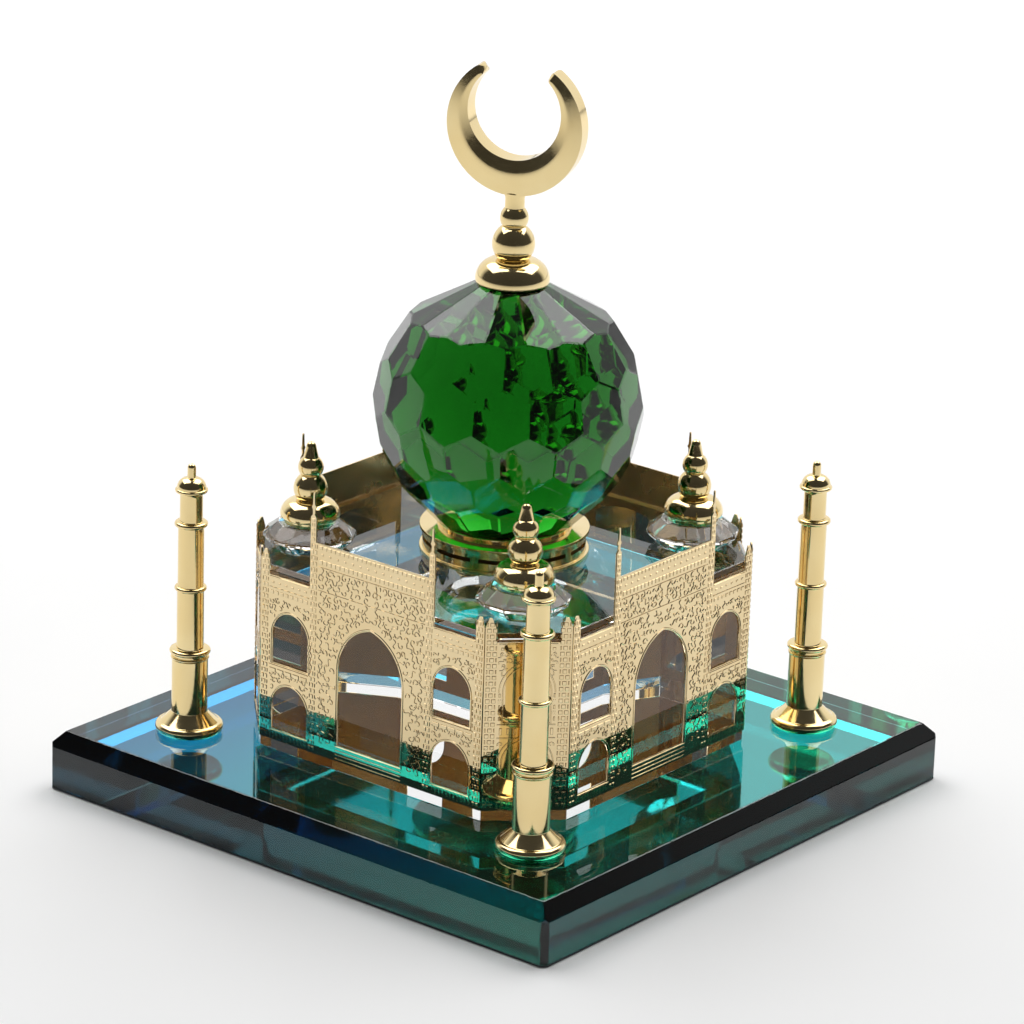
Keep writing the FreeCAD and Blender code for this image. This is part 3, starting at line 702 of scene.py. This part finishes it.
# The spires' outline: in from each side as a share of the width, and up from the shoulder.
SPIRE_STEPS = ((0.32, 0.5), (0.32, 1.5), (0.12, 1.9), (0.32, 2.4))
# Level lines of relief (height, width) and rows of blocks (lowest, highest, pitch, share filled).
BAY_LINES = ((34.3, 0.34), (32.2, 0.3), (16.9, 0.36))
BAY_BLOCKS = (
    (33.0, 33.5, 1.5, 0.4), (30.9, 31.7, 1.2, 0.75), (15.5, 16.4, 2.1, 0.85), (2.45, 4.0, 0.85, 0.55),
)
PORTAL_LINES = ((34.4, 0.3), (39.0, 0.26))
PORTAL_BLOCKS = ((39.5, 40.5, 1.05, 0.9), (41.2, 41.75, 1.95, 0.3), (42.4, 43.2, 1.05, 0.8))
PORTAL_STEPS = ((2.55, 0.36), (3.35, 0.36), (4.15, 0.36))
CORNER_LINES = ((34.3, 0.34), (18.8, 0.34), (16.2, 0.34))
CORNER_BLOCKS = ((33.1, 33.7, 1.5, 0.5), (16.8, 18.2, 1.3, 0.45), (2.5, 3.9, 0.9, 0.6))


def arch_line(arch, grow=0.0, feet=True):
    """A pointed arch's outline from its right foot round to its left foot, moved outwards by grow."""
    middle, half, bottom, spring, rise = arch
    radius = (half ** 2 + rise ** 2) / (2 * half)
    points = [Vector((middle + half + grow, bottom - grow))] if feet else []
    top_angle = math.atan2(rise, radius - half)
    full = radius + grow
    peak = math.acos(min(1.0, (radius - half) / full)) if grow else top_angle
    for i in range(ARCH_STEPS + 1):
        angle = peak * i / ARCH_STEPS
        across = middle + half - radius + full * math.cos(angle)
        points.append(Vector((across, spring + full * math.sin(angle))))
    points += [Vector((2 * middle - p.x, p.y)) for p in reversed(points[:-1])]
    return points


def sheet_plate(outline, openings, thickness):
    """A flat plate with holes, lying in XY, its outer face at z = 0."""
    curve = bpy.data.curves.new("outline", "CURVE")
    curve.dimensions = "2D"
    curve.fill_mode = "BOTH"
    curve.extrude = thickness / 2
    for line in [outline] + openings:
        spline = curve.splines.new("POLY")
        spline.points.add(len(line) - 1)
        spline.use_cyclic_u = True
        for point, corner in zip(spline.points, line):
            point.co = (corner[0], corner[1], 0.0, 1.0)
    holder = bpy.data.objects.new("outline", curve)
    mesh = bpy.data.meshes.new_from_object(holder)
    bm = bmesh.new()
    bm.from_mesh(mesh)
    bmesh.ops.remove_doubles(bm, verts=bm.verts[:], dist=1e-4)
    bmesh.ops.translate(bm, vec=(0, 0, -thickness / 2), verts=bm.verts[:])
    bpy.data.objects.remove(holder)
    bpy.data.meshes.remove(mesh)
    bpy.data.curves.remove(curve)
    return bm


class Relief:
    """Raised work on a sheet's outer face: strokes, curls and blocks. Side -1 mirrors what is drawn."""

    HEIGHT, SINK, CROWN_SHARE = 0.13, 0.04, 0.4
    BED_JOINT, SIDE_JOINT = 0.14, 0.12
    # Crowns take the etched metal; flanks take the dark brown metal, which paints shade on them.
    CROWN, FLANK = 1, 2

    def __init__(self, bm):
        self.bm = bm
        self.side = 1

    def vert(self, x, y, z):
        return self.bm.verts.new((self.side * x, y, z))

    def face(self, verts, material=FLANK):
        face = self.bm.faces.new(verts)
        face.material_index = material

    def stroke(self, points, width=0.3, closed=False, taper=False):
        """A ridge along a line, narrower at its top than at its foot."""
        points = [Vector(p) for p in points]
        count = len(points)
        sections = []
        for i, point in enumerate(points):
            before = points[i - 1] if i or closed else point
            after = points[(i + 1) % count] if i < count - 1 or closed else point
            one = (point - before).normalized() if (point - before).length > 1e-9 else Vector((0, 0))
            two = (after - point).normalized() if (after - point).length > 1e-9 else Vector((0, 0))
            along = one + two
            along = along.normalized() if along.length > 1e-6 else Vector((1, 0))
            across = Vector((-along.y, along.x))
            cosine = max(0.5, across.dot(Vector((-two.y, two.x)))) if two.length and one.length else 1.0
            half = width / 2 / cosine
            if taper:
                half *= 0.35 + 0.65 * (1 - i / (count - 1))
            crown = half * self.CROWN_SHARE
            ridge = (
                (half, -self.SINK), (crown, self.HEIGHT), (-crown, self.HEIGHT), (-half, -self.SINK),
            )
            sections.append([self.vert(*(point + across * reach), height) for reach, height in ridge])
        pairs = list(zip(sections, sections[1:]))
        if closed:
            pairs.append((sections[-1], sections[0]))
        for one, two in pairs:
            for j in range(4):
                k = (j + 1) % 4
                self.face((one[j], one[k], two[k], two[j]), self.CROWN if j == 1 else self.FLANK)
        if not closed:
            self.face(sections[0])
            self.face(sections[-1])

    def block(self, left, right, low, high, ease=0.12):
        """A raised block with sloping sides."""
        foot = [(left, low), (right, low), (right, high), (left, high)]
        crown = [
            (left + ease, low + ease), (right - ease, low + ease),
            (right - ease, high - ease), (left + ease, high - ease),
        ]
        base = [self.vert(x, y, -self.SINK) for x, y in foot]
        top = [self.vert(x, y, self.HEIGHT) for x, y in crown]
        self.face(base)
        self.face(top, self.CROWN)
        for j in range(4):
            k = (j + 1) % 4
            self.face((base[j], base[k], top[k], top[j]))

    def row(self, left, right, low, high, pitch, share=0.7):
        """Blocks side by side along a run, evenly spread."""
        count = max(1, round((right - left) / pitch))
        step = (right - left) / count
        for i in range(count):
            start = left + step * (i + (1 - share) / 2)
            self.block(start, start + step * share, low, high)

    def bands(self, left, right, lines, blocks=()):
        """Level lines and rows of blocks across an area."""
        for height, width in lines:
            self.stroke([(left, height), (right, height)], width)
        for low, high, pitch, share in blocks:
            self.row(left, right, low, high, pitch, share)

    def bricks(self, left, right, low, high, columns, pitch=1.12):
        """Courses of brick, every second one shifted by half a brick."""
        courses = max(1, round((high - low) / pitch))
        step, wide = (high - low) / courses, (right - left) / columns
        for i in range(courses):
            bottom, top = low + step * i + self.BED_JOINT, low + step * (i + 1) - self.BED_JOINT
            if i % 2:
                edges = [left] + [left + wide * (j + 0.5) for j in range(columns)] + [right]
            else:
                edges = [left + wide * j for j in range(columns + 1)]
            for one, two in zip(edges, edges[1:]):
                self.block(one + self.SIDE_JOINT, two - self.SIDE_JOINT, bottom, top)

    def curl(self, centre, radius, start, turns):
        """A spiral that winds in from a loose tail to its eye."""
        steps = max(6, round(abs(turns) * 12))
        points = []
        for i in range(steps + 1):
            t = i / steps
            angle = start + turns * 2 * math.pi * t
            reach = radius * (1.2 - 0.92 * t)
            points.append(centre + reach * Vector((math.cos(angle), math.sin(angle))))
        self.stroke(points, 0.34, taper=True)

    def scrolls(self, left, right, low, high, pitch, draw, inside=lambda point: True):
        """Scroll-work over an area: staggered curls that wind both ways, with leaves between them."""
        rows = max(1, round((high - low) / (pitch * 0.87)))
        for i in range(rows):
            y = low + (high - low) * (i + 0.5) / rows
            count = max(1, round((right - left) / pitch))
            step = (right - left) / count
            for j in range(count + i % 2):
                x = left + step * (j + (0.0 if i % 2 else 0.5))
                x = min(max(x, left + step * 0.36), right - step * 0.36)
                centre = Vector((x, y)) + Vector((draw.uniform(-0.16, 0.16), draw.uniform(-0.12, 0.12)))
                start = draw.uniform(0, 2 * math.pi)
                turns = draw.choice((-1, 1)) * draw.uniform(0.55, 0.95)
                if not inside(centre):
                    continue
                if draw.random() < 0.5:
                    self.curl(centre, pitch * 0.37, start, turns)
                else:
                    self.wave(centre, pitch * 0.5, start, pitch * 0.22 * (1 if turns > 0 else -1))
                leaf = centre + Vector((step * 0.5, pitch * 0.1))
                if leaf.x < right - 0.3 and draw.random() < 0.55 and inside(leaf):
                    lean = Vector((draw.uniform(-0.3, 0.3), 0.36))
                    bend = Vector((draw.uniform(-0.2, 0.2), 0.0))
                    self.stroke([leaf - lean, leaf + bend, leaf + lean])

    def wave(self, centre, reach, heading, swing):
        """A short stem with two opposite bends."""
        along = Vector((math.cos(heading), math.sin(heading)))
        across = Vector((-along.y, along.x))
        points = []
        for i in range(9):
            t = i / 4 - 1
            points.append(centre + along * reach * t + across * swing * math.sin(math.pi * t))
        self.stroke(points, 0.32)


def clear_of(arch, point):
    """How far a point above an arch's foot lies outside its line."""
    middle, half, _, spring, rise = arch
    x = abs(point.x - middle)
    if point.y <= spring:
        return x - half
    radius = (half ** 2 + rise ** 2) / (2 * half)
    return math.hypot(x + radius - half, point.y - spring) - radius


def window_work(relief, arch, left, right, draw):
    """A bay window's raised border, with scroll-work in the corners over its head."""
    middle, half, bottom, spring, rise = arch
    border, course, beside = 0.28, 1.15, 0.55
    relief.stroke(arch_line(arch, border), 0.36, closed=True)
    top = spring + rise + 2.3
    relief.scrolls(left, right, spring + 0.6, top, 1.35, draw, lambda point: clear_of(arch, point) > 0.95)
    courses = round((spring - bottom) / course)
    for i in range(courses):
        low = bottom + (spring - bottom) * i / courses
        for start, end in ((left, middle - half - beside), (middle + half + beside, right)):
            relief.block(start, end, low + 0.15, low + 1.0, 0.1)


def bay_work(relief, draw):
    """One low bay: turret bricks, cornice, surrounds of its two windows and the bands between them."""
    turret, edge = 24.75, 26.42
    left, right = 15.0, 24.55
    relief.bricks(turret, edge, PIER_FOOT, PIER_HEAD, 2)
    for window in BAY_WINDOWS:
        if window[0] > 0:
            window_work(relief, window, left - 0.1, right, draw)
    relief.bands(left, right, BAY_LINES, BAY_BLOCKS)


def portal_half(relief, draw):
    """Half of the tall portal: brick strip, scroll-work frame and field, dentils and steps."""
    inner, outer, edge = 0.25, 12.75, 14.68
    relief.bricks(13.0, edge, PIER_FOOT, 43.3, 2)
    relief.bricks(13.6, edge, 43.6, 48.2, 1, 1.0)
    relief.scrolls(inner, outer, 4.6, 34.1, 1.75, draw, lambda point: clear_of(PORTAL_ARCH, point) > 1.05)
    relief.scrolls(inner, outer, 34.7, 38.8, 1.7, draw)
    relief.bands(0.0, outer, PORTAL_LINES, PORTAL_BLOCKS)
    relief.bands(0.0, 7.9, PORTAL_STEPS)


def side_work(relief, draw_seed):
    """A side's relief: the same half drawn twice, mirrored, and the border of the great arch."""
    for side in (-1, 1):
        relief.side = side
        draw = random.Random(draw_seed)
        portal_half(relief, draw)
        bay_work(relief, draw)
    relief.stroke(arch_line(PORTAL_ARCH, 0.3), 0.42, closed=True)


def corner_work(relief, draw_seed):
    """A cut corner: brick piers, two polished blind niches, and a railing between them."""
    lower, upper = CORNER_NICHES
    pier = 5.3
    for side in (-1, 1):
        relief.side = side
        draw = random.Random(draw_seed)
        relief.bricks(5.55, 7.7, PIER_FOOT, PIER_HEAD, 2)
        for window in CORNER_NICHES:
            relief.bricks(4.65, pier, window[2], window[3], 1)
        relief.scrolls(0.2, pier, 30.4, 32.8, 1.3, draw)
        relief.scrolls(0.2, pier, 26.0, 30.4, 1.3, draw, lambda point: clear_of(upper, point) > 1.6)
        relief.scrolls(0.2, pier, 12.0, 15.6, 1.3, draw, lambda point: clear_of(lower, point) > 1.5)
        relief.bands(0.0, pier, CORNER_LINES, CORNER_BLOCKS)
    for window in CORNER_NICHES:
        relief.stroke(arch_line(window, 0.28), 0.34, closed=True)
        relief.stroke(arch_line(window, 1.0, feet=False), 0.3)


def mirrored(right):
    """A right half outline and its mirror image, as one closed line."""
    return right + [(-x, y) for x, y in reversed(right)]


def turret_outline(edge):
    """A sheet's outer edge, from its foot over the turret to the cornice."""
    turret, point, top = SHEET["turret"], SHEET["point"], SHEET["turret_top"]
    return [
        (edge, SHEET["bottom"]), (edge, top - turret),
        (edge - turret / 2 + point, top), (edge - turret / 2 - point, top),
        (edge - turret, top - turret), (edge - turret, SHEET["cornice"]),
    ]


def side_outline():
    """The outline of a side's sheet, with a turret at each end and a spire at each side of the portal."""
    portal, spire = SHEET["portal"], SHEET["spire"]
    shoulder = (SHEET["portal_top"] + SHEET["spire_top"]) / 2
    right = turret_outline(HALL_HALF - HALL_CORNER_LEG)
    right += [(portal, SHEET["cornice"]), (portal, shoulder)]
    right += [(portal - spire * inset, shoulder + rise) for inset, rise in SPIRE_STEPS]
    right += [(portal - spire / 2 + tip, SHEET["spire_top"]) for tip in (0.12, -0.12)]
    right += [(portal - spire * (1 - inset), shoulder + rise) for inset, rise in reversed(SPIRE_STEPS)]
    right += [(portal - spire, shoulder), (portal - spire, SHEET["portal_top"])]
    return mirrored(right)


def corner_outline():
    return mirrored(turret_outline(HALL_CORNER_LEG * math.sqrt(0.5)))


def brown_the_back(bm, thickness, material):
    """The face that lies on the crystal takes the material of the sheet's back."""
    for face in bm.faces:
        if all(vert.co.z < -thickness * 0.9 for vert in face.verts):
            face.material_index = material


def build_sheets(materials):
    thickness = SHEET["thickness"] + GLUE
    low, high = box_mm("hall_block")
    half = (high.x - low.x) / 2
    cut = (2 * half - HALL_CORNER_LEG) / math.sqrt(2)
    kinds = (
        (SIDES, "facade_", half, side_outline(), [PORTAL_ARCH] + BAY_WINDOWS, side_work),
        (CORNERS, "corner_panel_", cut, corner_outline(), [], corner_work),
    )
    for places, prefix, distance, outline, arches, work in kinds:
        for name, turn in places.items():
            node = prefix + name
            bm = sheet_plate(outline, [arch_line(arch) for arch in arches], thickness)
            brown_the_back(bm, thickness, 3)
            work(Relief(bm), node)
            stand = Matrix.Rotation(math.radians(turn), 4, "Z")
            stand @= Matrix.Translation((0.0, -(distance + SHEET["thickness"]), low.z))
            stand @= Matrix.Rotation(math.radians(90.0), 4, "X")
            add_piece(node + "_etched", bm, materials, node, None, stand)


# ---------------------------------------------------------------- studio

CAMERA_AZIMUTH, CAMERA_ELEVATION, CAMERA_ROLL = 38.618, 19.502, 1.851
CAMERA_DISTANCE, CAMERA_ASIDE, CAMERA_RAISE = 0.96813, 0.00296, 0.05123
CAMERA_LENS = 179.13
SOFTBOX_SIZE, SOFTBOX_HEIGHT, SOFTBOX_ASIDE, SOFTBOX_BACK, SOFTBOX_POWER = (1.3, 2.0), 1.5, 0.85, 0.85, 21.0
FLOOR_SIZE, FLOOR_DROP = 6.0, 0.0002
# The world's brightness, from straight behind the camera (0) to straight behind the object (1).
WORLD_STOPS = ((0.0, 0.04), (0.62, 0.06), (0.76, 0.85), (1.0, 0.95))


def heading_vector(azimuth, elevation):
    """The direction from the object at an azimuth from its front and an elevation, in degrees."""
    azimuth, elevation = math.radians(azimuth), math.radians(elevation)
    level = math.cos(elevation)
    return Vector((math.sin(azimuth) * level, -math.cos(azimuth) * level, math.sin(elevation)))


def add_camera():
    back = heading_vector(CAMERA_AZIMUTH, CAMERA_ELEVATION)
    right = heading_vector(CAMERA_AZIMUTH + 90, 0)
    up = back.cross(right)
    roll = Matrix.Rotation(math.radians(CAMERA_ROLL), 3, back)
    right, up = roll @ right, roll @ up
    camera = bpy.data.objects.new("camera", bpy.data.cameras.new("camera"))
    camera.data.lens = CAMERA_LENS
    camera.data.sensor_width = 36.0
    camera.data.clip_start = 0.05
    turn = Matrix((right, up, back)).transposed().to_4x4()
    spot = back * CAMERA_DISTANCE + right * CAMERA_ASIDE + up * CAMERA_RAISE
    camera.matrix_world = Matrix.Translation(spot) @ turn
    bpy.context.scene.collection.objects.link(camera)
    bpy.context.scene.camera = camera


def add_softbox(name, aside):
    """A large soft panel overhead, to one side of the line from the camera to the object."""
    light = bpy.data.lights.new(name, "AREA")
    light.shape = "RECTANGLE"
    light.size, light.size_y = SOFTBOX_SIZE
    light.energy = SOFTBOX_POWER
    box = bpy.data.objects.new(name, light)
    box.location = heading_vector(CAMERA_AZIMUTH + 90, 0) * aside
    box.location -= heading_vector(CAMERA_AZIMUTH, 0) * SOFTBOX_BACK
    box.location.z = SOFTBOX_HEIGHT
    box.rotation_euler.z = math.radians(CAMERA_AZIMUTH)
    bpy.context.scene.collection.objects.link(box)


def add_floor():
    bm = bmesh.new()
    bmesh.ops.create_grid(bm, x_segments=8, y_segments=8, size=FLOOR_SIZE)
    mesh = bpy.data.meshes.new("floor")
    bm.to_mesh(mesh)
    bm.free()
    mesh.materials.append(pale_floor())
    floor = bpy.data.objects.new("floor", mesh)
    floor.location.z = -FLOOR_DROP
    bpy.context.scene.collection.objects.link(floor)


def add_world():
    """A white backdrop behind the object, and a darker room in front of it."""
    world = bpy.data.worlds.new("studio")
    world.use_nodes = True
    tree = world.node_tree
    shader = tree.nodes["Background"]
    place = tree.nodes.new("ShaderNodeTexCoord")
    toward = tree.nodes.new("ShaderNodeVectorMath")
    toward.operation = "DOT_PRODUCT"
    toward.inputs[1].default_value = -heading_vector(CAMERA_AZIMUTH, 0)
    ramp = tree.nodes.new("ShaderNodeValToRGB")
    elements = ramp.color_ramp.elements
    while len(elements) < len(WORLD_STOPS):
        elements.new(1.0)
    for element, (position, value) in zip(elements, WORLD_STOPS):
        element.position = position
        element.color = (value, value, value, 1.0)
    span = tree.nodes.new("ShaderNodeMapRange")
    span.inputs["From Min"].default_value = -1.0
    tree.links.new(place.outputs["Generated"], toward.inputs[0])
    tree.links.new(toward.outputs["Value"], span.inputs["Value"])
    tree.links.new(span.outputs["Result"], ramp.inputs["Fac"])
    tree.links.new(ramp.outputs["Color"], shader.inputs["Color"])
    bpy.context.scene.world = world


def build_object():
    gold, crystal = gold_plate(), clear_crystal()
    build_base(mirror_film(), film_backing(), base_glass())
    build_hall(crystal)
    # The third sheet material is the painted shade on the relief's flanks.
    build_sheets([polished_brass(), etched_brass(), flank_oxide_and_shade(), sheet_back()])
    build_collar(gold, slot_shadow())
    build_ball(green_crystal())
    build_dome_finial(gold)
    build_crescent(gold)
    build_kiosks(crystal, gold)
    build_minarets(gold)


def build_studio():
    scene = bpy.context.scene
    scene.view_settings.view_transform = "Standard"
    scene.view_settings.exposure = 0.08
    scene.cycles.max_bounces = 28
    scene.cycles.transmission_bounces = 28
    scene.cycles.glossy_bounces = 12
    add_floor()
    add_world()
    add_softbox("softbox_left", -SOFTBOX_ASIDE)
    add_softbox("softbox_right", SOFTBOX_ASIDE)
    add_camera()


build_object()
build_studio()
